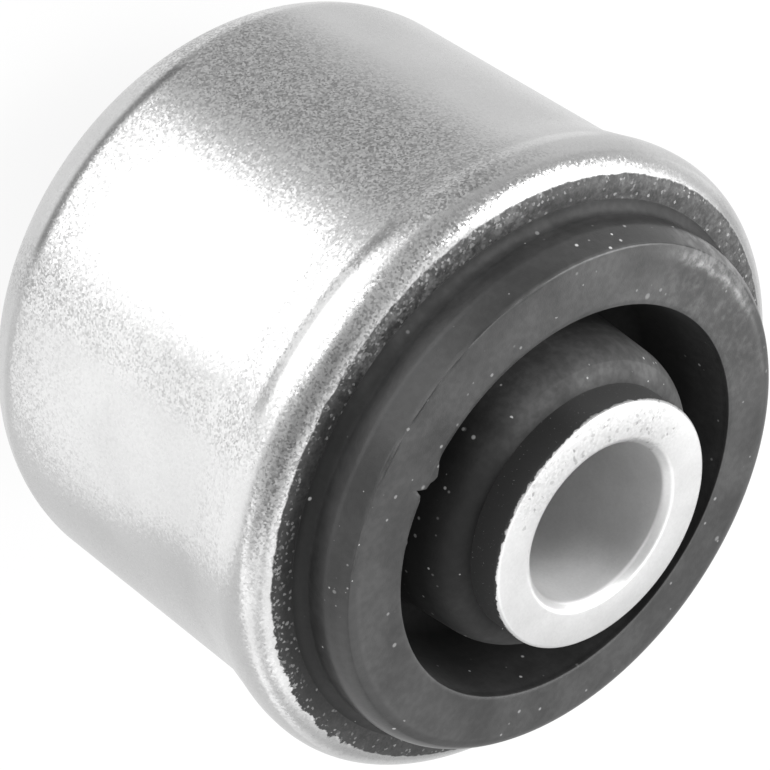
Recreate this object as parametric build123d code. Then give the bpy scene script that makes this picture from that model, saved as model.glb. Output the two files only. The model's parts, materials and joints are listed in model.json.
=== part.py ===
from build123d import *
from math import acos, atan, cos, degrees, radians, sin, tan
import os

# A rubber and metal bush, standing on the rear end of its inner sleeve.
# +Z runs along the bore towards the bumper, and the origin is the centre of the rear end face.
# Every section is drawn as radius against height and turned about Z. All sizes are millimetres.

# Inner sleeve: a thick tube for the bolt, longer than the outer sleeve
bore_diameter = 12.2
inner_wall = 3.4
bore_chamfer = 0.5
end_chamfer = 0.3

# Outer sleeve: a pressed sleeve with a rounded collar in front and a turned-in rear end
sleeve_length = 35.0
sleeve_wall = 2.2
collar_rise = 1.05
lip_flat = 0.75
heel_radius = 7.0
flare_radius = 10.0
rear_radius = 6.5
front_standout = 7.5
rear_standout = 7.5

# Rubber body: a hub round the inner sleeve and a bumper ring, parted by an annular recess
hub_wall = 2.1
hub_setback = 2.6
hub_round_width = 2.0
hub_round_height = 2.9
recess_width = 3.4
recess_depth = 9.0
bumper_width = 5.0
bumper_rise = 4.3
bumper_round = 1.9
land_width = 0.8
land_bead = 0.25
foot_round = 0.3
rear_rim = 1.5
rear_setback = 0.8
rear_recess_depth = 5.0
mould_draft = radians(4.0)

# Radii that follow, from the bore outwards
bore_r = bore_diameter / 2
inner_r = bore_r + inner_wall
hub_r = inner_r + hub_wall
recess_r = hub_r + recess_width
bumper_r = recess_r + bumper_width
lining_r = bumper_r + land_width
sleeve_r = lining_r + sleeve_wall
collar_r = sleeve_r + collar_rise
lip_round = sleeve_wall + collar_rise - lip_flat
rear_opening_r = sleeve_r - rear_radius
rear_recess_r = rear_opening_r - rear_rim

# Heights that follow, from the rear end up
sleeve_rear = rear_standout
rear_face = sleeve_rear + rear_setback
sleeve_front = sleeve_rear + sleeve_length
bumper_face = sleeve_front + bumper_rise
inner_length = sleeve_front + front_standout


def turned(outline):
    """Solid turned about Z from a closed outline of radius against height."""
    section = make_face(Plane.XZ * outline.line)
    return revolve(section, Axis.Z, 360)


def inner_sleeve():
    """Plain tube with a broken edge inside and outside at both ends."""
    with BuildLine() as outline:
        Polyline(
            (bore_r, bore_chamfer),
            (bore_r + bore_chamfer, 0),
            (inner_r - end_chamfer, 0),
            (inner_r, end_chamfer),
            (inner_r, inner_length - end_chamfer),
            (inner_r - end_chamfer, inner_length),
            (bore_r + bore_chamfer, inner_length),
            (bore_r, inner_length - bore_chamfer),
            close=True,
        )
    return turned(outline)


def outer_sleeve():
    """Sleeve whose collar runs back to the wall in an S, and whose rear end is turned in."""
    collar_top = sleeve_front - lip_round
    swing = acos(1 - collar_rise / (heel_radius + flare_radius))
    heel_end = (collar_r - heel_radius * (1 - cos(swing)), collar_top - heel_radius * sin(swing))
    flare_end = (sleeve_r, collar_top - (heel_radius + flare_radius) * sin(swing))
    bend = sleeve_rear + rear_radius
    with BuildLine() as outline:
        Line((lining_r, sleeve_front), (lining_r + lip_flat, sleeve_front))
        TangentArc((lining_r + lip_flat, sleeve_front), (collar_r, collar_top), tangent=(1, 0))
        heel = TangentArc((collar_r, collar_top), heel_end, tangent=(0, -1))
        TangentArc(heel_end, flare_end, tangent=heel % 1)
        Line(flare_end, (sleeve_r, bend))
        TangentArc((sleeve_r, bend), (rear_opening_r, sleeve_rear), tangent=(0, -1))
        Line((rear_opening_r, sleeve_rear), (rear_opening_r, sleeve_rear + sleeve_wall))
        TangentArc((rear_opening_r, sleeve_rear + sleeve_wall), (lining_r, bend), tangent=(1, 0))
        Line((lining_r, bend), (lining_r, sleeve_front))
    return turned(outline)


def hub_shoulder(end, inward):
    """Long domed round from the hub's end face to its drafted flank: its first and last points, and the curve."""
    touch = atan(tan(mould_draft) * hub_round_height / hub_round_width)
    middle = (hub_r - hub_round_width * cos(touch), end + inward * hub_round_height)
    flat_end = (middle[0], end)
    flank_start = (hub_r, middle[1] - inward * hub_round_height * sin(touch))
    start = min(-inward * degrees(touch), -inward * 90)
    dome = EllipticalCenterArc(middle, hub_round_width, hub_round_height, start,
                               arc_size=90 - degrees(touch), mode=Mode.PRIVATE)
    return flat_end, flank_start, dome


def recess_floor(shoulder, outer_r, mouth, depth, inward):
    """Full round at the bottom of a recess, touching both drafted walls, as three points."""
    floor = mouth + inward * depth
    inner_at_floor = hub_r + abs(floor - shoulder) * tan(mould_draft)
    outer_at_floor = outer_r - depth * tan(mould_draft)
    middle = (inner_at_floor + outer_at_floor) / 2
    half_gap = (outer_at_floor - inner_at_floor) / 2
    floor_round = half_gap * cos(mould_draft) / (1 - sin(mould_draft))
    reach = floor_round * cos(mould_draft)
    touch = floor - inward * floor_round * (1 - sin(mould_draft))
    return (middle - reach, touch), (middle, floor), (middle + reach, touch)


def rubber_body():
    """Moulding between the sleeves, from the front hub outwards and back by the rear hub."""
    front_end = inner_length - hub_setback
    front_flat, front_flank, front_dome = hub_shoulder(front_end, -1)
    rear_flat, rear_flank, rear_dome = hub_shoulder(hub_setback, 1)
    front_floor = recess_floor(front_flank[1], recess_r, bumper_face, recess_depth, -1)
    rear_floor = recess_floor(rear_flank[1], rear_recess_r, rear_face, rear_recess_depth, 1)
    crown = bumper_face - bumper_round
    land = sleeve_front + land_bead
    bend = sleeve_rear + rear_radius
    with BuildLine() as outline:
        Line((inner_r, front_end), front_flat)
        add(front_dome)
        Line(front_flank, front_floor[0])
        ThreePointArc(*front_floor)
        Polyline(front_floor[2], (recess_r, bumper_face), (bumper_r - bumper_round, bumper_face))
        TangentArc((bumper_r - bumper_round, bumper_face), (bumper_r, crown), tangent=(1, 0))
        Line((bumper_r, crown), (bumper_r, land + foot_round))
        TangentArc((bumper_r, land + foot_round), (bumper_r + foot_round, land), tangent=(0, -1))
        Line((bumper_r + foot_round, land), (lining_r - land_bead, land))
        TangentArc((lining_r - land_bead, land), (lining_r, sleeve_front), tangent=(1, 0))
        Line((lining_r, sleeve_front), (lining_r, bend))
        TangentArc((lining_r, bend), (rear_opening_r, sleeve_rear + sleeve_wall), tangent=(0, -1))
        Polyline((rear_opening_r, sleeve_rear + sleeve_wall), (rear_opening_r, rear_face),
                 (rear_recess_r, rear_face), rear_floor[2])
        ThreePointArc(*reversed(rear_floor))
        Line(rear_floor[0], rear_flank)
        add(rear_dome)
        Polyline(rear_flat, (inner_r, hub_setback), (inner_r, front_end))
    return turned(outline)


os.makedirs("parts", exist_ok=True)
export_step(inner_sleeve(), "parts/inner_sleeve.step")
export_step(outer_sleeve(), "parts/outer_sleeve.step")
export_step(rubber_body(), "parts/rubber_body.step")
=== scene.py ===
"""Rubber and metal bush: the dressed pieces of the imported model, and a stage to show them on."""

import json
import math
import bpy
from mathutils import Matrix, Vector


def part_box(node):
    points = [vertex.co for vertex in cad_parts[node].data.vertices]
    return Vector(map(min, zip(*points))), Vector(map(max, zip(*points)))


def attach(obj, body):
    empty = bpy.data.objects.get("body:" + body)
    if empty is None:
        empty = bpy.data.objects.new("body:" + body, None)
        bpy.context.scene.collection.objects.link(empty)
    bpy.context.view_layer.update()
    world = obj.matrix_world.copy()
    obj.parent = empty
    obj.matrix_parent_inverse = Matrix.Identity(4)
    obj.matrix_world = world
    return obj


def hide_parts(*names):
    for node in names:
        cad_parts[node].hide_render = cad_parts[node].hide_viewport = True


bl_info = {
    "name": "Rubber metal bush",
    "version": (1, 0, 0),
    "blender": (4, 5, 0),
    "location": "View3D > Sidebar > Bush",
    "description": "Builds the sleeves and the rubber body of a bonded bush, and a plain stage",
    "category": "Add Mesh",
}

import bpy
import numpy as np
from bpy.props import FloatProperty, FloatVectorProperty, IntProperty, PointerProperty
from mathutils import Matrix

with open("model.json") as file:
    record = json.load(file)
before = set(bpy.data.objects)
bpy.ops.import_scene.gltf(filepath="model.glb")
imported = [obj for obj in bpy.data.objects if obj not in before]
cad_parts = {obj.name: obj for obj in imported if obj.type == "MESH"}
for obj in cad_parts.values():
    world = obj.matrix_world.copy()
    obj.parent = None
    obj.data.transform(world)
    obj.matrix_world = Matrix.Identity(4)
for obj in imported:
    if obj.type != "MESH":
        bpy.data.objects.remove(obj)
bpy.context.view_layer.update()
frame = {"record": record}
MM = 0.001


def mount_radius(name):
    """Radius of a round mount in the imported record, in metres."""
    mount = next(m for m in frame["record"]["mounts"] if m["name"] == name)
    return mount["dims"]["r_mm"] * MM


def length(name, text, default):
    """A length property of the bush, in metres."""
    return FloatProperty(name=name, description=text, default=default, min=0.0, precision=5, unit="LENGTH")


def neutral(name, text, level):
    """A neutral colour property."""
    return FloatVectorProperty(name=name, description=text, default=(level, level, level), min=0.0, max=1.0,
                               size=3, subtype="COLOR")


class BushSizes(bpy.types.PropertyGroup):
    """Sizes of the three pieces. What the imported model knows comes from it."""

    bore: length("Bore radius", "Inner wall of the inner sleeve", mount_radius("bore"))
    tube: length("Inner sleeve radius", "Outer wall of the inner sleeve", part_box("inner_sleeve")[1].x)
    tube_top: length("Front end", "Height of the inner sleeve's front face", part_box("inner_sleeve")[1].z)
    bore_chamfer: length("Bore chamfer", "Chamfer at both ends of the bore", 0.5 * MM)
    tube_edge: length("Tube edge", "Rounding of the inner sleeve's outer edges", 0.3 * MM)
    sleeve: length("Outer sleeve radius", "Plain wall that is pressed in", mount_radius("sleeve"))
    collar: length("Collar radius", "Widest radius of the collar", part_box("outer_sleeve")[1].x)
    sleeve_low: length("Sleeve rear", "Height of the outer sleeve's rear end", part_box("outer_sleeve")[0].z)
    sleeve_top: length("Sleeve front", "Height of the outer sleeve's lip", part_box("outer_sleeve")[1].z)
    lining: length("Lining radius", "Inner wall of the outer sleeve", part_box("rubber_body")[1].x)
    lip_flat: length("Lip flat", "Flat at the front of the lip", 0.75 * MM)
    flare: length("Flare", "Length of the widening behind the collar", 6.6 * MM)
    crease: length("Crease", "Distance of the small step behind the collar from its widest ring", 1.4 * MM)
    rear_round: length("Rear round", "Round of the turned-in rear end", 6.5 * MM)
    knee: length("Knee", "Height above the rear end where the wall starts to turn in", 5.9 * MM)
    hub_low: length("Hub rear", "Height of the hub's rear end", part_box("rubber_body")[0].z)
    hub_top: length("Hub front", "Height of the hub's front end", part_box("rubber_body")[1].z)
    hub: length("Hub radius", "Radius of the hub below its domed ends", 11.6 * MM)
    hub_width: length("Hub dome width", "Width of the long round at both ends of the hub", 2 * MM)
    hub_height: length("Hub dome height", "Height of the long round at both ends of the hub", 2.9 * MM)
    recess: length("Recess radius", "Outer edge of the front recess", 15 * MM)
    recess_depth: length("Recess depth", "Depth of the front recess", 9 * MM)
    bumper: length("Bumper radius", "Outer wall of the bumper ring", 20 * MM)
    bumper_rise: length("Bumper rise", "Bumper face above the lip", 4.3 * MM)
    crown: length("Crown round", "Round of the bumper's outer edge", 1.9 * MM)
    land: length("Land", "Rubber land above the lip", 0.03 * MM)
    foot: length("Foot round", "Hollow round at the foot of the bumper", 0.7 * MM)
    rear_rim: length("Rear rim", "Rubber rim inside the rear opening", 1.5 * MM)
    rear_inset: length("Rear inset", "Rubber below the sleeve's rear edge", 0.8 * MM)
    rear_depth: length("Rear recess depth", "Depth of the rear recess", 5 * MM)
    flash: length("Flash line", "Height of the mould line round the crown", 0.15 * MM)
    tear: length("Tear", "How far the torn edge of the recess leans in", 0.78 * MM)
    draft: FloatProperty(name="Mould draft", description="Draft of the recess walls", default=math.radians(4),
                         subtype="ANGLE")
    turns: IntProperty(name="Turns", description="Facets round each piece", default=360, min=24)


class BushFinish(bpy.types.PropertyGroup):
    """Colours of the finishes."""

    zinc: neutral("Sleeve zinc", "Plating of the outer sleeve", 0.5)
    tube: neutral("Tube zinc", "Plating of the inner sleeve", 0.62)
    film: neutral("Film", "Bonding film left on steel beside the rubber", 0.02)
    rubber: neutral("Rubber", "Black rubber", 0.014)
    dust: neutral("Dust", "Pale specks on the rubber", 0.45)
    floor: neutral("Floor", "Plain pale floor", 0.9)


# Sections: each piece is drawn as (radius, height) points and turned about the bore


def run(start, end, steps=1):
    """Straight run of points, without its last one."""
    return np.linspace(start, end, steps, endpoint=False)


def bend(centre, radius, start, end, steps=12):
    """Round run of points between two angles in degrees, without its last one."""
    a = np.radians(np.linspace(start, end, steps, endpoint=False))
    return np.stack([centre[0] + radius * np.cos(a), centre[1] + radius * np.sin(a)], axis=-1)


def turned(name, section, angles):
    """Closed piece turned from one section, or from one section for each angle."""
    sections = np.broadcast_to(section, (len(angles),) + section.shape[-2:])
    r, z = sections[..., 0], sections[..., 1]
    a = angles[:, None]
    points = np.stack([r * np.cos(a), r * np.sin(a), z], axis=-1).reshape(-1, 3)
    rings, size = r.shape
    i, j = np.meshgrid(np.arange(rings), np.arange(size), indexing="ij")
    k, m = (i + 1) % rings, (j + 1) % size
    faces = np.stack([i * size + j, k * size + j, k * size + m, i * size + m], axis=-1).reshape(-1, 4)
    mesh = bpy.data.meshes.new(name)
    mesh.from_pydata(points.tolist(), [], faces.tolist())
    mesh.validate()
    mesh.shade_smooth()
    mesh.set_sharp_from_angle(angle=math.radians(38))
    piece = bpy.data.objects.new(name, mesh)
    bpy.context.collection.objects.link(piece)
    return piece


def seat(piece, node, material):
    """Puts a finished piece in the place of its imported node."""
    piece.data.materials.append(material)
    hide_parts(node)
    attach(piece, "root")


def even_angles(count):
    """Evenly spaced angles about the bore."""
    return np.linspace(0, 2 * math.pi, count, endpoint=False)


def eased(points, reach, steps=6):
    """Open run of points with each inner corner drawn as a small curve that starts a reach before it."""
    path = [np.array(points[0])]
    for before, corner, after in zip(points, points[1:], points[2:]):
        before, corner, after = map(np.array, (before, corner, after))
        first = corner + (before - corner) * min(reach / np.linalg.norm(before - corner), 0.5)
        last = corner + (after - corner) * min(reach / np.linalg.norm(after - corner), 0.5)
        for t in np.linspace(0, 1, steps):
            path.append((1 - t) ** 2 * first + 2 * t * (1 - t) * corner + t * t * last)
    return np.array(path)


def tube_section(s):
    """Thick tube with chamfered bore and rounded outer edges, from the rear inner edge outwards."""
    e, c = s.tube_edge, s.bore_chamfer
    inside = s.tube_top - 3 * c
    front = [(s.tube - e, s.tube_top), (s.bore + c, s.tube_top), (s.bore, s.tube_top - c), (s.bore, inside)]
    return np.vstack([
        run((s.bore, c), (s.bore + c, 0)),
        run((s.bore + c, 0), (s.tube - e, 0), 3),
        bend((s.tube - e, e), e, -90, 0, 5),
        run((s.tube, e), (s.tube, s.tube_top - e), 24),
        bend((s.tube - e, s.tube_top - e), e, 0, 90, 5),
        eased(front, 0.22 * MM),
        run((s.bore, inside), (s.bore, c), 24),
    ])


def rear_turn(s):
    """Turned-in rear end of the outer wall: a small knee, then one long round down to the mouth."""
    drop, reach = s.knee, s.rear_round
    knee = math.pi / 2 - 2 * math.atan2(drop, reach)
    radius = reach / math.cos(knee)
    arc = bend((s.sleeve - reach, s.sleeve_low + radius), radius, -90, -math.degrees(knee), 24)
    return arc[:-1], np.array([(s.sleeve - 0.02 * MM, s.sleeve_low + drop - 0.12 * MM),
                               (s.sleeve, s.sleeve_low + drop + 0.1 * MM)])


def flare_wall(s, top):
    """Wall that widens into the collar: a cone eased at both ends, with a small step near its widest ring."""
    z = np.linspace(-s.flare, 0, 72)
    slope = np.interp(z / s.flare, (-1, -0.68, -0.27, 0), (0, 1, 1, 0))
    slope += 0.25 * np.exp(-((z + s.crease) / (0.6 * MM)) ** 2)
    rise = np.concatenate([[0], np.cumsum((slope[1:] + slope[:-1]) / 2 * np.diff(z))])
    return np.stack([s.sleeve + rise * (s.collar - s.sleeve) / rise[-1], top + z], axis=-1)[:-1]


def sleeve_section(s):
    """Outer sleeve from the rear inner edge round the outside to the lip and back."""
    wall = s.sleeve - s.lining
    lip = s.collar - s.lining - s.lip_flat
    top = s.sleeve_top - lip
    bend_z = s.sleeve_low + s.rear_round
    mouth = s.sleeve - s.rear_round
    rear, knee = rear_turn(s)
    return np.vstack([
        run((mouth, s.sleeve_low + wall), (mouth, s.sleeve_low), 2),
        rear,
        knee,
        run((s.sleeve, bend_z), (s.sleeve, top - s.flare), 20),
        flare_wall(s, top),
        bend((s.collar - lip, top), lip, 0, 90, 20),
        run((s.collar - lip, s.sleeve_top), (s.lining, s.sleeve_top), 3),
        run((s.lining, s.sleeve_top), (s.lining, bend_z), 12),
        bend((mouth, bend_z), s.rear_round - wall, 0, -90, 10),
    ])


# Torn place on the edge of the front recess: degrees about the bore, then lean inwards and droop as shares
# of the tear
TEAR = np.array([
    (279.5, 0.0, 0.0), (281.0, 0.15, 0.0), (283.0, 0.64, 0.04), (285.0, 1.0, 0.12), (286.3, 0.9, 0.25),
    (287.2, 0.7, 0.4), (289.1, 0.62, 0.55), (289.45, -0.78, 0.1), (290.7, -0.16, 0.0), (292.2, 0.05, 0.0),
    (303.0, 0.0, 0.0), (303.7, 0.18, 0.05), (304.5, 0.15, 0.1), (305.0, 0.0, 0.0),
])


def body_angles(count):
    """Angles round the rubber body, closer together at the torn place."""
    even = np.arange(count) * 360 / count
    near = (even > 279.5) & (even < 291.5)
    return np.radians(np.sort(np.concatenate([even[~near], np.arange(279.6, 291.5, 0.3)])))


def ripple(angle, seed, count=9):
    """Uneven value between about -1 and 1 round the body, the same on every run."""
    random = np.random.default_rng(seed)
    waves = np.arange(3, 3 + 4 * count, 4)
    return float(np.sum(np.sin(waves * angle + random.uniform(0, 2 * math.pi, count))) / count * 2)


def bumper_crown(s, face, angle):
    """Outer edge of the bumper at one angle: round, and full where the mould has left its line."""
    turn = math.degrees(angle)
    full = np.interp(turn, (150, 180, 215, 296, 320, 350), (0.1, 0.3, 1, 1, 0.3, 0.1))
    ridge = 53.6  # where the mould line stands on the crown, in degrees above its outer side
    ridge_reach = 2.36 * MM  # its distance from the middle of the crown's round
    lean = 0.263  # the full crown's outer side leans in by about 15 degrees
    a = np.radians(np.concatenate([np.linspace(0, ridge - 10, 8, endpoint=False),
                                   ridge + np.array([-10, -6.5, -4.5, -3, -1.5, 0, 1.5, 3, 4.5, 6.5, 9]),
                                   np.linspace(ridge + 13, 90, 6, endpoint=False)]))
    side = s.crown / (np.cos(a) + lean * np.sin(a))
    top = s.crown / np.maximum(np.sin(a), 0.2)
    soft = 0.03 * MM
    corner = -soft * np.logaddexp(-side / soft, -top / soft)
    line = np.interp(turn, (225, 245, 296, 312), (0, 1, 1, 0)) * (0.6 + 0.8 * ripple(angle, 7))
    from_line = (a - math.radians(ridge)) * ridge_reach
    proud = s.flash * line * np.exp(-(from_line / (0.09 * MM)) ** 2)
    reach = s.crown + full * (corner - s.crown) + proud
    return np.stack([s.bumper - s.crown + reach * np.cos(a), face - s.crown + reach * np.sin(a)], axis=-1)


def recess_edge(s, face, angle):
    """Softened edge of the front recess at one angle, from the face down to the drafted wall."""
    turn = math.degrees(angle)
    lean = s.tear * np.interp(turn, TEAR[:, 0], TEAR[:, 1])
    droop = s.tear * np.interp(turn, TEAR[:, 0], TEAR[:, 2])
    edge = s.recess - lean
    low = 0.75 * MM
    return np.array([
        (edge + 0.7 * MM, face),
        (edge + 0.4 * MM, face - 0.15 * droop),
        (edge + 0.12 * MM, face - 0.5 * droop),
        (edge + 0.035 * MM, face - 0.035 * MM - 0.8 * droop),
        (edge, face - 0.12 * MM - droop),
        (edge + 0.03 * MM, face - 0.35 * MM - 0.8 * droop),
        (s.recess - low * math.tan(s.draft), face - low),
    ])


def recess_floor(s, shoulder, edge, mouth, depth, inward):
    """Full round at the bottom of a recess between drafted walls: centre, radius."""
    slope = math.tan(s.draft)
    floor = mouth + inward * depth
    inner = s.hub + abs(floor - shoulder) * slope
    outer = edge - depth * slope
    radius = (outer - inner) / 2 * math.cos(s.draft) / (1 - math.sin(s.draft))
    return ((inner + outer) / 2, floor - inward * radius), radius


def hub_dome(s, end, inward):
    """Long round from the drafted flank of the hub to its end."""
    touch = math.atan(math.tan(s.draft) * s.hub_height / s.hub_width)
    a = np.linspace(touch, math.pi / 2, 20)
    middle = s.hub - s.hub_width * math.cos(touch)
    drop = s.hub_height * (1 - np.sin(a))
    return np.stack([middle + s.hub_width * np.cos(a), end + inward * drop], axis=-1)


def rubber_section(s, angle):
    """Rubber body at one angle: from the land over the bumper, recess and hub, and back by the rear."""
    turn = math.degrees(s.draft)
    front_dome = hub_dome(s, s.hub_top, -1)
    rear_dome = hub_dome(s, s.hub_low, 1)[::-1]
    face = s.sleeve_top + s.bumper_rise
    land = s.sleeve_top + s.land
    bend_z = s.sleeve_low + s.rear_round
    wall = s.sleeve - s.lining
    mouth = s.sleeve - s.rear_round
    rear_edge = mouth - s.rear_rim
    rear_face = s.sleeve_low + s.rear_inset
    (front_c, front_r) = recess_floor(s, front_dome[0][1], s.recess, face, s.recess_depth, -1)
    (rear_c, rear_r) = recess_floor(s, rear_dome[-1][1], rear_edge, rear_face, s.rear_depth, 1)
    front = bend(front_c, front_r, -turn, turn - 180, 24)
    rear = bend(rear_c, rear_r, 180 - turn, turn, 16)
    edge = recess_edge(s, face, angle)
    return np.vstack([
        run((s.lining, bend_z), (s.lining, s.sleeve_top), 16),
        bend((s.lining - s.land, s.sleeve_top), s.land, 0, 90, 5),
        run((s.lining - s.land, land), (s.bumper + s.foot, land), 2),
        bend((s.bumper + s.foot, land + s.foot), s.foot, 270, 180, 8),
        run((s.bumper, land + s.foot), (s.bumper, face - s.crown), 6),
        bumper_crown(s, face, angle),
        run((s.bumper - s.crown, face), edge[0], 8),
        edge,
        run(edge[-1], front[0], 12)[1:],
        front,
        run((front_c[0] - front_r * math.cos(s.draft), front_c[1] - front_r * math.sin(s.draft)),
            front_dome[0], 12),
        front_dome,
        run((s.tube, s.hub_top), (s.tube, s.hub_low), 12),
        rear_dome,
        run(rear_dome[-1], rear[0], 6)[1:],
        rear,
        run((rear_c[0] + rear_r * math.cos(s.draft), rear_c[1] + rear_r * math.sin(s.draft)),
            (rear_edge, rear_face), 6),
        run((rear_edge, rear_face), (mouth, rear_face), 3),
        run((mouth, rear_face), (mouth, s.sleeve_low + wall), 2),
        bend((mouth, bend_z), s.rear_round - wall, -90, 0, 8),
    ])


# Finishes


def add(tree, kind, inputs=None, **settings):
    """New node: settings first, then each input is linked to a socket or set to a value."""
    node = tree.nodes.new(kind)
    for key, value in settings.items():
        setattr(node, key, value)
    for key, value in (inputs or {}).items():
        if isinstance(value, bpy.types.NodeSocket):
            tree.links.new(value, node.inputs[key])
        else:
            node.inputs[key].default_value = value
    return node


def math_node(tree, operation, *values):
    """Output of a Math node."""
    return add(tree, "ShaderNodeMath", dict(enumerate(values)), operation=operation).outputs[0]


def vector_node(tree, operation, *values):
    """Output of a Vector Math node."""
    return add(tree, "ShaderNodeVectorMath", dict(enumerate(values)), operation=operation).outputs[0]


def blend_colour(tree, mask, first, second):
    """Colour that goes from the first to the second with a mask."""
    node = add(tree, "ShaderNodeMix", data_type="RGBA")
    sockets = [s for s in node.inputs if s.enabled]
    for socket, value in zip(sockets, (mask, first, second)):
        if isinstance(value, bpy.types.NodeSocket):
            tree.links.new(value, socket)
        else:
            socket.default_value = value
    return next(s for s in node.outputs if s.enabled)


def span(tree, value, low, high, start=0.0, end=1.0):
    """Smooth step of a value from one range to another."""
    node = add(tree, "ShaderNodeMapRange", {"Value": value, "From Min": low, "From Max": high,
                                            "To Min": start, "To Max": end}, interpolation_type="SMOOTHSTEP")
    return node.outputs[0]


def noise(tree, coords, scale, detail, roughness=0.5):
    """Value of a noise whose scale is per metre."""
    inputs = {"Vector": coords, "Scale": scale, "Detail": detail, "Roughness": roughness}
    return add(tree, "ShaderNodeTexNoise", inputs).outputs[0]


def tint(colour, factor=1.0):
    """Four values of a colour property, lightened or darkened by a factor."""
    return tuple(value * factor for value in colour) + (1.0,)


def new_group(name, inputs, outputs):
    """Empty node group with named sockets: name to socket type and default."""
    tree = bpy.data.node_groups.new(name, "ShaderNodeTree")
    for label, (kind, default) in inputs.items():
        socket = tree.interface.new_socket(label, in_out="INPUT", socket_type=kind)
        if default is not None:
            socket.default_value = default
    for label in outputs:
        kind = "NodeSocketVector" if label == "Normal" else "NodeSocketFloat"
        tree.interface.new_socket(label, in_out="OUTPUT", socket_type=kind)
    return tree, tree.nodes.new("NodeGroupInput").outputs, tree.nodes.new("NodeGroupOutput").inputs


def grain_group():
    """Fine grain: a height for bump, and a mask of bright specks."""
    if "Grain" in bpy.data.node_groups:
        return bpy.data.node_groups["Grain"]
    tree, ins, outs = new_group("Grain", {
        "Vector": ("NodeSocketVector", None),
        "Grain Size": ("NodeSocketFloat", 0.00025),
        "Speck Share": ("NodeSocketFloat", 0.2),
    }, ("Height", "Bright"))
    scale = math_node(tree, "DIVIDE", 1.0, ins["Grain Size"])
    coarse = noise(tree, ins["Vector"], scale, 2.0, 0.6)
    fine = noise(tree, ins["Vector"], math_node(tree, "MULTIPLY", scale, 2.3), 1.0)
    mixed = math_node(tree, "MULTIPLY_ADD", fine, 0.45, math_node(tree, "MULTIPLY", coarse, 0.55))
    high = math_node(tree, "SUBTRACT", 0.68, math_node(tree, "MULTIPLY", ins["Speck Share"], 0.25))
    tree.links.new(mixed, outs["Height"])
    tree.links.new(span(tree, mixed, high, math_node(tree, "ADD", high, 0.06)), outs["Bright"])
    return tree


def facet_group():
    """Small flat grains of plating, each tilted its own way: a normal, and two values for each grain."""
    if "Facets" in bpy.data.node_groups:
        return bpy.data.node_groups["Facets"]
    tree, ins, outs = new_group("Facets", {
        "Vector": ("NodeSocketVector", None),
        "Grain Size": ("NodeSocketFloat", 0.00016),
        "Tilt": ("NodeSocketFloat", 0.2),
    }, ("Normal", "Value", "Grain"))
    scale = math_node(tree, "DIVIDE", 1.0, ins["Grain Size"])
    cell = add(tree, "ShaderNodeTexVoronoi", {"Vector": ins["Vector"], "Scale": scale, "Randomness": 1.0})
    lean = vector_node(tree, "SUBTRACT", cell.outputs["Color"], (0.5, 0.5, 0.5))
    lean = add(tree, "ShaderNodeVectorMath", {0: lean, "Scale": ins["Tilt"]}, operation="SCALE").outputs[0]
    normal = vector_node(tree, "ADD", add(tree, "ShaderNodeNewGeometry").outputs["Normal"], lean)
    tree.links.new(vector_node(tree, "NORMALIZE", normal), outs["Normal"])
    pick = add(tree, "ShaderNodeSeparateColor", {"Color": cell.outputs["Color"]}).outputs
    tree.links.new(pick[2], outs["Value"])
    tree.links.new(pick[1], outs["Grain"])
    return tree


def dust_group():
    """Scattered dust: small separate specks, thicker in some patches than in others."""
    if "Dust" in bpy.data.node_groups:
        return bpy.data.node_groups["Dust"]
    tree, ins, outs = new_group("Dust", {
        "Vector": ("NodeSocketVector", None),
        "Speck Size": ("NodeSocketFloat", 0.0008),
        "Amount": ("NodeSocketFloat", 0.5),
    }, ("Mask",))
    scale = math_node(tree, "DIVIDE", 1.0, ins["Speck Size"])
    cell = add(tree, "ShaderNodeTexVoronoi", {"Vector": ins["Vector"], "Scale": scale, "Randomness": 1.0})
    pick = add(tree, "ShaderNodeSeparateColor", {"Color": cell.outputs["Color"]}).outputs
    patch = noise(tree, ins["Vector"], math_node(tree, "MULTIPLY", scale, 0.12), 2.0)
    share = math_node(tree, "MULTIPLY", span(tree, patch, 0.35, 0.75, 0.1, 1.0), ins["Amount"])
    chosen = math_node(tree, "LESS_THAN", pick[0], share)
    radius = math_node(tree, "MULTIPLY_ADD", pick[1], 0.16, 0.05)
    dot = span(tree, cell.outputs["Distance"], radius, math_node(tree, "MULTIPLY", radius, 0.5))
    strength = span(tree, pick[2], 0.0, 1.0, 0.25, 1.0)
    speck = math_node(tree, "MULTIPLY", chosen, dot)
    tree.links.new(math_node(tree, "MULTIPLY", speck, strength), outs["Mask"])
    return tree


def place(tree, group, **inputs):
    """Group node with its inputs set or linked."""
    node = add(tree, "ShaderNodeGroup", node_tree=group)
    for key, value in inputs.items():
        socket = node.inputs[key.replace("_", " ")]
        if isinstance(value, bpy.types.NodeSocket):
            tree.links.new(value, socket)
        else:
            socket.default_value = value
    return node.outputs


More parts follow.
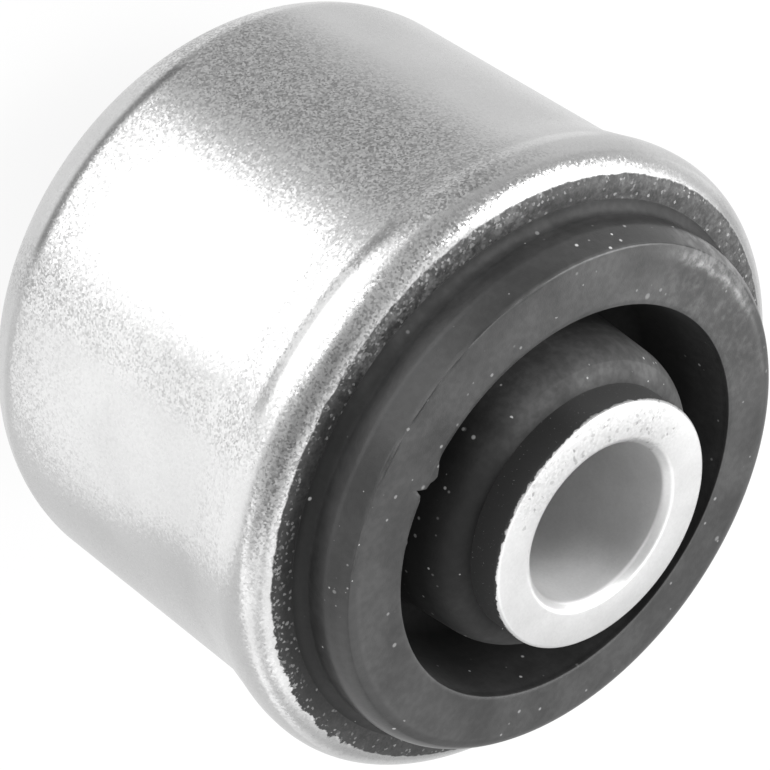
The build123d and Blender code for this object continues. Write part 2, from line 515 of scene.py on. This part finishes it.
class Surface:
    """Material of one piece: its nodes, and where each point lies about the bore."""

    def __init__(self, name):
        self.material = bpy.data.materials.new(name)
        self.material.use_nodes = True
        self.tree = self.material.node_tree
        self.coords = add(self.tree, "ShaderNodeTexCoord").outputs["Object"]
        self.x, self.y, self.z = add(self.tree, "ShaderNodeSeparateXYZ", {0: self.coords}).outputs
        squares = self.calc("MULTIPLY_ADD", self.x, self.x, self.product(self.y, self.y))
        self.radius = self.calc("SQRT", squares)

    def calc(self, operation, *values):
        """Output of a Math node."""
        return math_node(self.tree, operation, *values)

    def product(self, value, *others):
        """Product of values or masks."""
        for other in others:
            value = self.calc("MULTIPLY", value, other)
        return value

    def most(self, value, *others):
        """Largest of values or masks."""
        for other in others:
            value = self.calc("MAXIMUM", value, other)
        return value

    def step(self, value, low, high, start=0.0, end=1.0):
        """Smooth step of a value from one range to another."""
        return span(self.tree, value, low, high, start, end)

    def band(self, value, centre, half, soft):
        """One where a value lies within a half width of a centre, fading over the soft distance."""
        away = self.calc("ABSOLUTE", self.calc("SUBTRACT", value, centre))
        return self.step(away, half + soft, half)

    def sector(self, centre, half, soft):
        """One inside a sector about the bore, fading over its soft edges. Angles in degrees."""
        turn = math.radians(centre)
        along = self.calc("MULTIPLY_ADD", self.x, math.cos(turn), self.product(self.y, math.sin(turn)))
        across = self.calc("MULTIPLY_ADD", self.x, -math.sin(turn), self.product(self.y, math.cos(turn)))
        away = self.calc("ABSOLUTE", self.calc("ARCTAN2", across, along))
        return self.step(away, math.radians(half + soft), math.radians(half))

    def noise(self, scale, detail, roughness=0.5):
        """Value of a noise over this piece."""
        return noise(self.tree, self.coords, scale, detail, roughness)

    def effect(self, group, **inputs):
        """Shared effect placed on this piece, with its own values."""
        return place(self.tree, group, Vector=self.coords, **inputs)

    def mix(self, mask, first, second):
        """Colour that goes from the first to the second with a mask."""
        return blend_colour(self.tree, mask, first, second)

    def shade(self, colour, factor, *masks):
        """Colour multiplied by a factor where all the masks are one."""
        changed = vector_node(self.tree, "MULTIPLY", colour, (factor,) * 3)
        return self.mix(self.product(*masks), colour, changed)

    def finished(self, **sockets):
        """The material, with these sockets of its shader linked."""
        shader = self.tree.nodes["Principled BSDF"]
        for key, value in sockets.items():
            self.tree.links.new(value, shader.inputs[key.replace("_", " ")])
        return self.material


# Bands on the sleeve's lip with painted lighter or darker reflections: depth below the front of the lip, half
# width, middle and half sweep in degrees, and the factor on the colour
PAINTED_LIP_BANDS = (
    (0.68 * MM, 0.35 * MM, 345, 12, 1.2),
    (0.68 * MM, 0.35 * MM, 195, 12, 1.15),
    (1.06 * MM, 0.42 * MM, 307, 8, 1.22),
    (0.5 * MM, 0.1 * MM, 288, 10, 0.85),
    (0.25 * MM, 0.15 * MM, 312, 16, 0.84),
)


def sleeve_zinc(on, s, f, grains):
    """Sleeve plating: a painted band of reflected shade, a painted highlight, and light and dark grains, also
    where worn or rolled.
    """
    tone = on.noise(110.0, 3.0)
    zinc = on.mix(on.step(tone, 0.3, 0.7), tint(f.zinc, 0.95), tint(f.zinc, 1.05))
    below_lip = on.step(on.z, s.sleeve_top - 2 * MM, s.sleeve_top - 1.4 * MM, 1.0, 0.35)
    # Painted shade: a dark band down one side, standing for shade reflected in the plating.
    painted_dark_band = on.product(on.sector(238, 5, 17), on.step(tone, 0.25, 0.6, 0.6, 1.0), below_lip)
    zinc = on.shade(zinc, 0.58, painted_dark_band)
    worn = on.product(on.sector(292, 2, 5), 0.6)
    rolled = on.product(on.step(on.z, s.sleeve_top - 2.2 * MM, s.sleeve_top - 1.6 * MM),
                        on.sector(275, 25, 15))
    strength = on.calc("MULTIPLY_ADD", on.most(painted_dark_band, worn, rolled), 0.5, 0.08)
    uneven = on.product(on.calc("SUBTRACT", grains, 0.5), strength)
    zinc = on.mix(on.most(on.product(uneven, 0.7), 0.0), zinc, tint(f.zinc, 2))
    zinc = on.mix(on.most(on.product(uneven, -1.5), 0.0), zinc, (0, 0, 0, 1))
    # Painted highlight: the plating lighter in a narrow strip at one side.
    return on.shade(zinc, 1.12, on.sector(190, 6, 10))


def painted_reflection_marks(on, s, zinc, height):
    """Zinc with painted reflections: a dark line at the knee, a dark and a light stretch of the crease, a
    lighter rear, lip bands.
    """
    knee_z = s.sleeve_low + s.knee
    # Painted shade: a dark line at the knee where the turning wall reflects shade.
    knee = on.band(on.z, knee_z - 0.15 * MM, 0.1 * MM, 0.55 * MM)
    zinc = on.shade(zinc, 0.42, knee, on.step(height, 0.3, 0.5, 0.5, 1.0), on.sector(267, 18, 6))
    # Painted shade, then painted highlight, along the crease behind the collar, each on one side.
    crease = on.band(on.z, s.sleeve_top - 3.7 * MM, 0.25 * MM, 0.6 * MM)
    zinc = on.shade(zinc, 0.5, crease, on.sector(269, 14, 9))
    zinc = on.shade(zinc, 1.22, crease, on.sector(226, 16, 6))
    # Painted light: the turned-in rear lighter, more so on one side.
    turned_in = on.step(on.z, knee_z - 0.4 * MM, knee_z - 1.1 * MM)
    zinc = on.shade(zinc, 1.2, turned_in)
    zinc = on.shade(zinc, 1.35, turned_in, on.sector(238, 10, 10))
    # Painted reflections: bands of the lip made lighter or darker on certain sides.
    for depth, half, middle, sweep, factor in PAINTED_LIP_BANDS:
        ring = on.band(on.z, s.sleeve_top - depth, half, 0.2 * MM)
        zinc = on.shade(zinc, factor, ring, on.sector(middle, sweep, 8))
    return zinc


def painted_front_rings(on, s, zinc, front):
    """Zinc with a painted dark ring of reflected shade and a painted highlight ring on the front of the lip.
    """
    # Painted shade ring and painted highlight ring, each on one side only.
    painted_shade_ring = on.band(on.radius, s.collar - 0.75 * MM, 0.15 * MM, 0.25 * MM)
    zinc = on.shade(zinc, 0.72, front, on.sector(285, 12, 12), painted_shade_ring)
    painted_highlight_ring = on.band(on.radius, s.collar - 1.38 * MM, 0.08 * MM, 0.2 * MM)
    return on.shade(zinc, 1.25, front, on.sector(275, 30, 12), painted_highlight_ring)


def lip_film(on, s, f, front):
    """Mask and colour of the dark film beside the rubber: ragged border, bare flecks, painted lighter on one
    side and darker opposite.
    """
    ragged = on.calc("SUBTRACT", on.noise(1200.0, 3.0, 0.65), 0.5)
    uneven = on.product(ragged, on.step(on.sector(345, 15, 10), 0, 1, 0.35, 1.2))
    border = on.calc("MULTIPLY_ADD", uneven, 1 * MM, s.collar - 1.67 * MM)
    border = on.calc("MULTIPLY_ADD", on.sector(215, 40, 25), 0.15 * MM, border)
    film = on.product(on.step(on.calc("SUBTRACT", border, on.radius), -0.07 * MM, 0.07 * MM), front)
    flecks = on.effect(facet_group(), Grain_Size=0.18 * MM, Tilt=0.2)
    worn = on.most(on.sector(322, 12, 14), on.product(on.sector(255, 18, 18), 0.85))
    thin = on.step(on.radius, s.collar - 2.7 * MM, s.collar - 1.7 * MM, 0.03, 0.12)
    bare = on.calc("LESS_THAN", flecks["Value"], on.product(thin, on.calc("MULTIPLY_ADD", worn, 2.0, 1.0)))
    film = on.product(film, on.calc("MULTIPLY_ADD", on.product(bare, flecks["Grain"]), -0.5, 1.0))
    blotch = on.noise(1400.0, 4.0, 0.7)
    patches = on.calc("MULTIPLY_ADD", flecks["Value"], 0.5, on.product(on.step(blotch, 0.35, 0.65), 0.5))
    crust = on.mix(patches, tint(f.film, 0.3), tint(f.film, 1.9))
    # Painted light: the crust lighter on the lit side, in its own patches.
    painted_lit_side = on.most(on.sector(252, 18, 12), on.product(on.sector(180, 25, 25), 0.7))
    crust = on.shade(crust, 3.2, painted_lit_side, on.step(blotch, 0.4, 0.65, 0.3, 1.0))
    # Painted shade: the crust darker on the side away from the light.
    return film, on.shade(crust, 0.35, on.sector(327, 18, 14))


def sleeve_finish(s, f):
    """Grained zinc on the outer sleeve with painted reflections, and a ragged dark film on the front of its
    lip.
    """
    on = Surface("Sleeve zinc")
    grain = on.effect(grain_group(), Grain_Size=0.17 * MM, Speck_Share=0.3)
    tilt = on.step(on.z, s.sleeve_top - 0.6 * MM, s.sleeve_top - 0.3 * MM, 0.15, 0.06)
    facets = on.effect(facet_group(), Grain_Size=0.15 * MM, Tilt=tilt)
    front = on.step(on.z, s.sleeve_top - 2 * MM, s.sleeve_top - 1.8 * MM)
    zinc = sleeve_zinc(on, s, f, facets["Value"])
    zinc = painted_reflection_marks(on, s, zinc, grain["Height"])
    zinc = painted_front_rings(on, s, zinc, front)
    film, crust = lip_film(on, s, f, front)
    rough = on.calc("MULTIPLY_ADD", grain["Height"], 0.14, 0.22)
    rough = on.calc("MULTIPLY_ADD", film, 0.2, rough)
    return on.finished(Base_Color=on.mix(film, zinc, crust), Metallic=on.step(film, 0, 1, 1.0, 0.1),
                       Roughness=rough, Normal=facets["Normal"])


def tube_skin(on, s, bright):
    """Mask of the rubber skin on the inner sleeve's side, torn along the rim of its front face."""
    inset = on.calc("ADD", on.calc("SUBTRACT", on.radius, s.tube), on.calc("SUBTRACT", s.tube_top, on.z))
    torn = on.calc("MULTIPLY_ADD", on.noise(1700.0, 3.0, 0.6), 0.9 * MM, on.calc("SUBTRACT", inset, 0.7 * MM))
    torn = on.calc("MULTIPLY_ADD", on.sector(288, 32, 22), 0.25 * MM, torn)
    outside = on.step(on.radius, s.tube - 0.9 * MM, s.tube - 0.6 * MM)
    rubbed = on.calc("MULTIPLY_ADD", bright, -0.4, 1.0)
    return on.product(on.step(torn, -0.05 * MM, 0.08 * MM), outside, rubbed)


def tube_finish(s, f):
    """Bright mottled zinc on the inner sleeve, sandy and pitted on one side, with rubber skin on its wall,
    both painted lighter on one side.
    """
    on = Surface("Tube zinc")
    grain = on.effect(grain_group(), Grain_Size=0.2 * MM, Speck_Share=0.15)
    sand = on.effect(facet_group(), Grain_Size=0.17 * MM, Tilt=0.03)
    tone = on.noise(500.0, 4.0)
    zinc = on.mix(on.step(tone, 0.3, 0.7), tint(f.tube, 0.97), tint(f.tube, 1.03))
    sandy = on.product(on.sector(233, 43, 26), on.step(tone, 0.4, 0.6, 0.4, 1.0))
    zinc = on.shade(zinc, 0.6, sand["Value"], on.calc("MULTIPLY_ADD", sandy, 0.45, 0.12))
    pits = on.effect(facet_group(), Grain_Size=0.24 * MM, Tilt=0.0)
    pitted = on.calc("LESS_THAN", pits["Grain"], on.product(sandy, 0.09))
    zinc = on.shade(zinc, 0.55, pitted, pits["Value"])
    bore = on.step(on.radius, s.bore + 0.15 * MM, s.bore + 0.05 * MM)
    mouth = on.step(on.z, s.tube_top - 7 * MM, s.tube_top - 2 * MM)
    # Painted light: the bore's mouth lighter on the side that faces the light.
    zinc = on.shade(zinc, 1.6, bore, mouth, on.sector(45, 12, 35))
    skin = tube_skin(on, s, grain["Bright"])
    # Painted light: the rubber skin lighter on one side.
    skin_with_painted_light = on.mix(on.sector(205, 25, 20), tint(f.film), tint(f.film, 2.2))
    metal = on.step(on.most(skin, on.product(bore, 0.5)), 0, 1, 1.0, 0.1)
    rough = on.calc("MULTIPLY_ADD", grain["Height"], 0.1, 0.38)
    rough = on.calc("MULTIPLY_ADD", skin, 0.2, rough)
    return on.finished(Base_Color=on.mix(skin, zinc, skin_with_painted_light), Metallic=metal,
                       Roughness=rough, Normal=sand["Normal"])


def rubber_wear(on, s):
    """Mask of the pale scuff on the bumper's crown, with fainter wear on the face beside it."""
    patch = on.noise(900.0, 5.0, 0.7)
    crown = on.product(on.step(on.radius, s.bumper - 2.1 * MM, s.bumper - 1.3 * MM), on.sector(182, 8, 14),
                       on.step(on.z, s.sleeve_top + 2 * MM, s.sleeve_top + 3 * MM),
                       on.step(patch, 0.4, 0.62, 0.1, 0.8))
    face = on.product(on.step(on.z, s.sleeve_top + 3.5 * MM, s.sleeve_top + 4 * MM), on.sector(172, 14, 22),
                      on.step(on.radius, s.recess - 0.2 * MM, s.recess + 0.6 * MM),
                      on.step(patch, 0.45, 0.7, 0.0, 0.13))
    return on.most(crown, face)


def painted_rubber_light(on, s, rubber, deep):
    """Rubber with painted light and shade: lighter hub, face, land and foot on the lit side, darker far side
    and recess, crown highlight.
    """
    hub = on.step(on.radius, s.recess - 1.5 * MM, s.recess - 2.2 * MM)
    dome = on.step(on.z, s.hub_top - 6 * MM, s.hub_top - 2 * MM)
    # Painted light: the hub's dome lighter on the lit side, fading with depth.
    rubber = on.shade(rubber, 3.2, hub, dome, on.sector(200, 25, 70))
    # Painted shade: the hub darker on the far side.
    rubber = on.shade(rubber, 0.4, hub, on.sector(302, 20, 25))
    face_z = s.sleeve_top + s.bumper_rise
    face = on.step(on.z, face_z - 0.1 * MM, face_z - 0.02 * MM)
    # Painted sheen on the lit side of the face.
    rubber = on.shade(rubber, 1.3, face, on.sector(205, 15, 45))
    # Painted sheen: the whole bumper face lighter than the hub.
    rubber = on.shade(rubber, 1.7, face, on.step(on.radius, s.recess - 1.2 * MM, s.recess - 0.6 * MM))
    # Painted light on the lit side of the land.
    painted_lit_land = on.step(on.z, s.sleeve_top + 0.6 * MM, s.sleeve_top + 0.2 * MM)
    rubber = on.shade(rubber, 1.5, painted_lit_land, on.sector(228, 35, 20))
    # Painted shade on the far side of the land.
    painted_shade_land = on.step(on.z, s.sleeve_top + 0.9 * MM, s.sleeve_top + 0.3 * MM)
    rubber = on.shade(rubber, 0.3, painted_shade_land, on.sector(312, 25, 18))
    # Painted light at the foot of the bumper on the lit side.
    foot = on.band(on.z, s.sleeve_top + 0.7 * MM, 0.35 * MM, 0.35 * MM)
    rubber = on.shade(rubber, 1.5, foot, on.sector(220, 28, 16))
    # Painted shade deep in the recess.
    rubber = on.shade(rubber, 0.5, deep)
    # Painted highlight along the crown's edge on one side.
    painted_crown_highlight = on.band(on.radius, s.bumper - 0.52 * MM, 0.05 * MM, 0.12 * MM)
    crown = on.step(on.z, face_z - 0.3 * MM, face_z - 0.1 * MM)
    return on.shade(rubber, 2.2, painted_crown_highlight, crown, on.sector(228, 14, 12))


def rubber_dust(on, s, deep):
    """Mask of the dust: fine and coarse specks, and some caught along the mould line. None lies deep down."""
    fine = on.effect(dust_group(), Speck_Size=0.95 * MM, Amount=1.1)
    coarse = on.effect(dust_group(), Speck_Size=1.6 * MM, Amount=0.35)
    line = on.product(on.band(on.radius, s.bumper - 0.5 * MM, 0.4 * MM, 0.3 * MM), on.sector(306, 11, 6),
                      on.step(on.z, s.sleeve_top + 2 * MM, s.sleeve_top + 3 * MM))
    caught = on.effect(dust_group(), Speck_Size=0.6 * MM, Amount=on.product(line, 8.0))
    return on.product(on.most(fine["Mask"], coarse["Mask"], caught["Mask"]), on.calc("SUBTRACT", 1.0, deep))


def rubber_finish(s, f):
    """Matt black rubber with a fine moulded skin, painted light and shade, a pale scuff and scattered dust.
    """
    on = Surface("Black rubber")
    grain = on.effect(grain_group(), Grain_Size=0.3 * MM, Speck_Share=0.05)
    tone = on.noise(260.0, 6.0)
    rubber = on.mix(on.step(tone, 0.3, 0.7), tint(f.rubber, 0.7), tint(f.rubber, 1.4))
    rubber = on.shade(rubber, 1.35, on.step(on.noise(1800.0, 2.0), 0.35, 0.65))
    rubber = on.mix(rubber_wear(on, s), rubber, tint(f.dust, 0.35))
    deep = on.product(on.step(on.z, s.sleeve_top + 1.5 * MM, s.sleeve_top - 0.5 * MM),
                      on.step(on.radius, s.recess + 0.5 * MM, s.recess))
    # Painted light and shade on the rubber.
    rubber = painted_rubber_light(on, s, rubber, deep)
    dust = rubber_dust(on, s, deep)
    inner = on.step(on.radius, s.recess + 0.3 * MM, s.recess - 0.1 * MM)
    foot = on.step(on.z, s.sleeve_top + 1.3 * MM, s.sleeve_top + 0.5 * MM)
    rough = on.most(on.calc("MULTIPLY_ADD", tone, 0.15, 0.3), on.product(foot, 0.72), on.product(inner, 0.85),
                    on.product(deep, 0.95), on.product(dust, 0.7))
    bump = add(on.tree, "ShaderNodeBump", {"Height": grain["Height"], "Distance": 0.012 * MM}).outputs[0]
    return on.finished(Base_Color=on.mix(dust, rubber, tint(f.dust)), Roughness=rough, Normal=bump)


# Stage


def is_seen(tree):
    """One for rays that show the background: straight, mirrored or through glass."""
    path = add(tree, "ShaderNodeLightPath").outputs
    return math_node(tree, "MAXIMUM", path["Is Camera Ray"],
                     math_node(tree, "MAXIMUM", path["Is Glossy Ray"], path["Is Transmission Ray"]))


def floor_finish(f):
    """Pale floor that stays near white where it is seen, and still takes a soft shadow."""
    material = bpy.data.materials.new("Pale floor")
    material.use_nodes = True
    tree = material.node_tree
    tree.nodes.remove(tree.nodes["Principled BSDF"])
    plain = add(tree, "ShaderNodeBsdfDiffuse", {"Color": tint(f.floor)}).outputs[0]
    white = add(tree, "ShaderNodeEmission", {"Color": (1, 1, 1, 1), "Strength": 1.0}).outputs[0]
    glow = 0.91  # share of plain white where the floor is seen; the rest takes the shadow
    share = math_node(tree, "MULTIPLY", is_seen(tree), glow)
    mixed = add(tree, "ShaderNodeMixShader", {0: share, 1: plain, 2: white}).outputs[0]
    tree.links.new(mixed, tree.nodes["Material Output"].inputs["Surface"])
    return material


def softbox(name, azimuth, elevation, size, radiance):
    """Area lamp that faces the middle of the bush. Azimuth 0 is towards +X, 90 towards +Y."""
    distance = 0.55
    middle = 25 * MM
    lamp = bpy.data.lights.new(name, "AREA")
    lamp.shape = "RECTANGLE"
    lamp.size, lamp.size_y = size
    lamp.energy = radiance * math.pi * size[0] * size[1]
    holder = bpy.data.objects.new(name, lamp)
    holder.matrix_world = (Matrix.Translation((0, 0, middle))
                           @ Matrix.Rotation(math.radians(azimuth + 90), 4, "Z")
                           @ Matrix.Rotation(math.radians(90 - elevation), 4, "X")
                           @ Matrix.Translation((0, 0, distance)))
    holder.visible_camera = False
    bpy.context.collection.objects.link(holder)


def panel(name, azimuth, near, far, width, radiance):
    """Area lamp that lies just over the floor and faces up, between two distances from the bore."""
    height = 0.5 * MM
    lamp = bpy.data.lights.new(name, "AREA")
    lamp.shape = "RECTANGLE"
    lamp.size, lamp.size_y = far - near, width
    lamp.energy = radiance * math.pi * (far - near) * width
    holder = bpy.data.objects.new(name, lamp)
    holder.matrix_world = (Matrix.Rotation(math.radians(azimuth), 4, "Z")
                           @ Matrix.Translation(((near + far) / 2, 0, height))
                           @ Matrix.Rotation(math.pi, 4, "X"))
    holder.visible_camera = False
    bpy.context.collection.objects.link(holder)


# Operators


class BUSH_OT_outer_sleeve(bpy.types.Operator):
    """Turn the outer sleeve with its collar"""

    bl_idname = "bush.outer_sleeve"
    bl_label = "Outer sleeve"

    def execute(self, context):
        s, f = context.scene.bush_sizes, context.scene.bush_finish
        piece = turned("outer_sleeve_steel", sleeve_section(s), even_angles(s.turns))
        seat(piece, "outer_sleeve", sleeve_finish(s, f))
        return {"FINISHED"}


class BUSH_OT_inner_sleeve(bpy.types.Operator):
    """Turn the inner sleeve with its bore"""

    bl_idname = "bush.inner_sleeve"
    bl_label = "Inner sleeve"

    def execute(self, context):
        s, f = context.scene.bush_sizes, context.scene.bush_finish
        piece = turned("inner_sleeve_steel", tube_section(s), even_angles(s.turns))
        seat(piece, "inner_sleeve", tube_finish(s, f))
        return {"FINISHED"}


class BUSH_OT_rubber_body(bpy.types.Operator):
    """Turn the rubber body with its bumper, recesses and hub"""

    bl_idname = "bush.rubber_body"
    bl_label = "Rubber body"

    def execute(self, context):
        s, f = context.scene.bush_sizes, context.scene.bush_finish
        angles = body_angles(s.turns)
        piece = turned("rubber_body_moulding", np.array([rubber_section(s, a) for a in angles]), angles)
        seat(piece, "rubber_body", rubber_finish(s, f))
        return {"FINISHED"}


class BUSH_OT_stage(bpy.types.Operator):
    """Set the floor, the soft lamps and the camera"""

    bl_idname = "bush.stage"
    bl_label = "Stage"

    def execute(self, context):
        scene, f = context.scene, context.scene.bush_finish
        mesh = bpy.data.meshes.new("floor")
        far = 4.0
        level = -0.02 * MM  # a hair below the bush, so that no two faces lie in one plane
        corners = [(-far, -far, level), (far, -far, level), (far, far, level), (-far, far, level)]
        mesh.from_pydata(corners, [], [(0, 1, 2, 3)])
        floor = bpy.data.objects.new("floor", mesh)
        floor.data.materials.append(floor_finish(f))
        scene.collection.objects.link(floor)

        softbox("key lamp", 180, 43.5, (0.214, 0.264), 11.0)
        softbox("key side lamp", 150, 43.5, (0.214, 0.264), 2.1)
        softbox("back lamp", 120, 43.5, (0.214, 0.264), 4.5)
        softbox("back right lamp", 45, 43.5, (0.43, 0.264), 1.05)
        softbox("high lamp", 90, 67.5, (0.42, 0.204), 2.1)
        softbox("front strip", 270, 6, (0.293, 0.096), 5.2)
        softbox("right strip", 0, 6, (0.9, 0.096), 1.3)
        softbox("right lamp", 0, 20.5, (0.276, 0.184), 1.0)
        softbox("right high lamp", 5, 55, (0.42, 0.36), 0.7)
        panel("foot panel", 270.2, 36 * MM, 46 * MM, 0.031, 2.2)
        panel("near panel", 270, 46 * MM, 60 * MM, 0.044, 2.2)
        panel("middle panel", 269.5, 60 * MM, 85 * MM, 0.063, 2.2)
        panel("far panel", 270, 85 * MM, 0.26, 0.15, 1.9)
        panel("right panel", 323, 34 * MM, 0.2, 0.05, 0.68)

        grey = 0.66
        world = bpy.data.worlds.new("Room")
        world.use_nodes = True
        world.node_tree.nodes["Background"].inputs["Color"].default_value = (grey, grey, grey, 1)
        scene.world = world
        scene.view_settings.view_transform = "Standard"

        eye = Matrix.Translation((4.3598 * MM, -189.9512 * MM, 181.6412 * MM))
        tilt = math.radians(51.7261)
        roll = math.radians(125.250)  # the bush is shown lying on its side
        lens = bpy.data.cameras.new("camera")
        lens.lens = 159.965
        lens.shift_x, lens.shift_y = -0.00846, 0.09314
        camera = bpy.data.objects.new("camera", lens)
        camera.matrix_world = eye @ Matrix.Rotation(tilt, 4, "X") @ Matrix.Rotation(roll, 4, "Z")
        scene.collection.objects.link(camera)
        scene.camera = camera
        return {"FINISHED"}


class BUSH_PT_panel(bpy.types.Panel):
    """Buttons and values of the bush"""

    bl_idname = "BUSH_PT_panel"
    bl_label = "Rubber metal bush"
    bl_space_type = "VIEW_3D"
    bl_region_type = "UI"
    bl_category = "Bush"

    def draw(self, context):
        for operator in OPERATORS:
            self.layout.operator(operator.bl_idname)
        for group in (context.scene.bush_sizes, context.scene.bush_finish):
            box = self.layout.box()
            for name in group.__annotations__:
                box.prop(group, name)


OPERATORS = (BUSH_OT_outer_sleeve, BUSH_OT_rubber_body, BUSH_OT_inner_sleeve, BUSH_OT_stage)
CLASSES = (BushSizes, BushFinish) + OPERATORS + (BUSH_PT_panel,)


def register():
    for cls in CLASSES:
        bpy.utils.register_class(cls)
    bpy.types.Scene.bush_sizes = PointerProperty(type=BushSizes)
    bpy.types.Scene.bush_finish = PointerProperty(type=BushFinish)


def unregister():
    del bpy.types.Scene.bush_finish
    del bpy.types.Scene.bush_sizes
    for cls in reversed(CLASSES):
        bpy.utils.unregister_class(cls)


def main():
    """Builds everything."""
    register()
    bpy.ops.bush.outer_sleeve()
    bpy.ops.bush.rubber_body()
    bpy.ops.bush.inner_sleeve()
    bpy.ops.bush.stage()


if __name__ == "__main__":
    main()
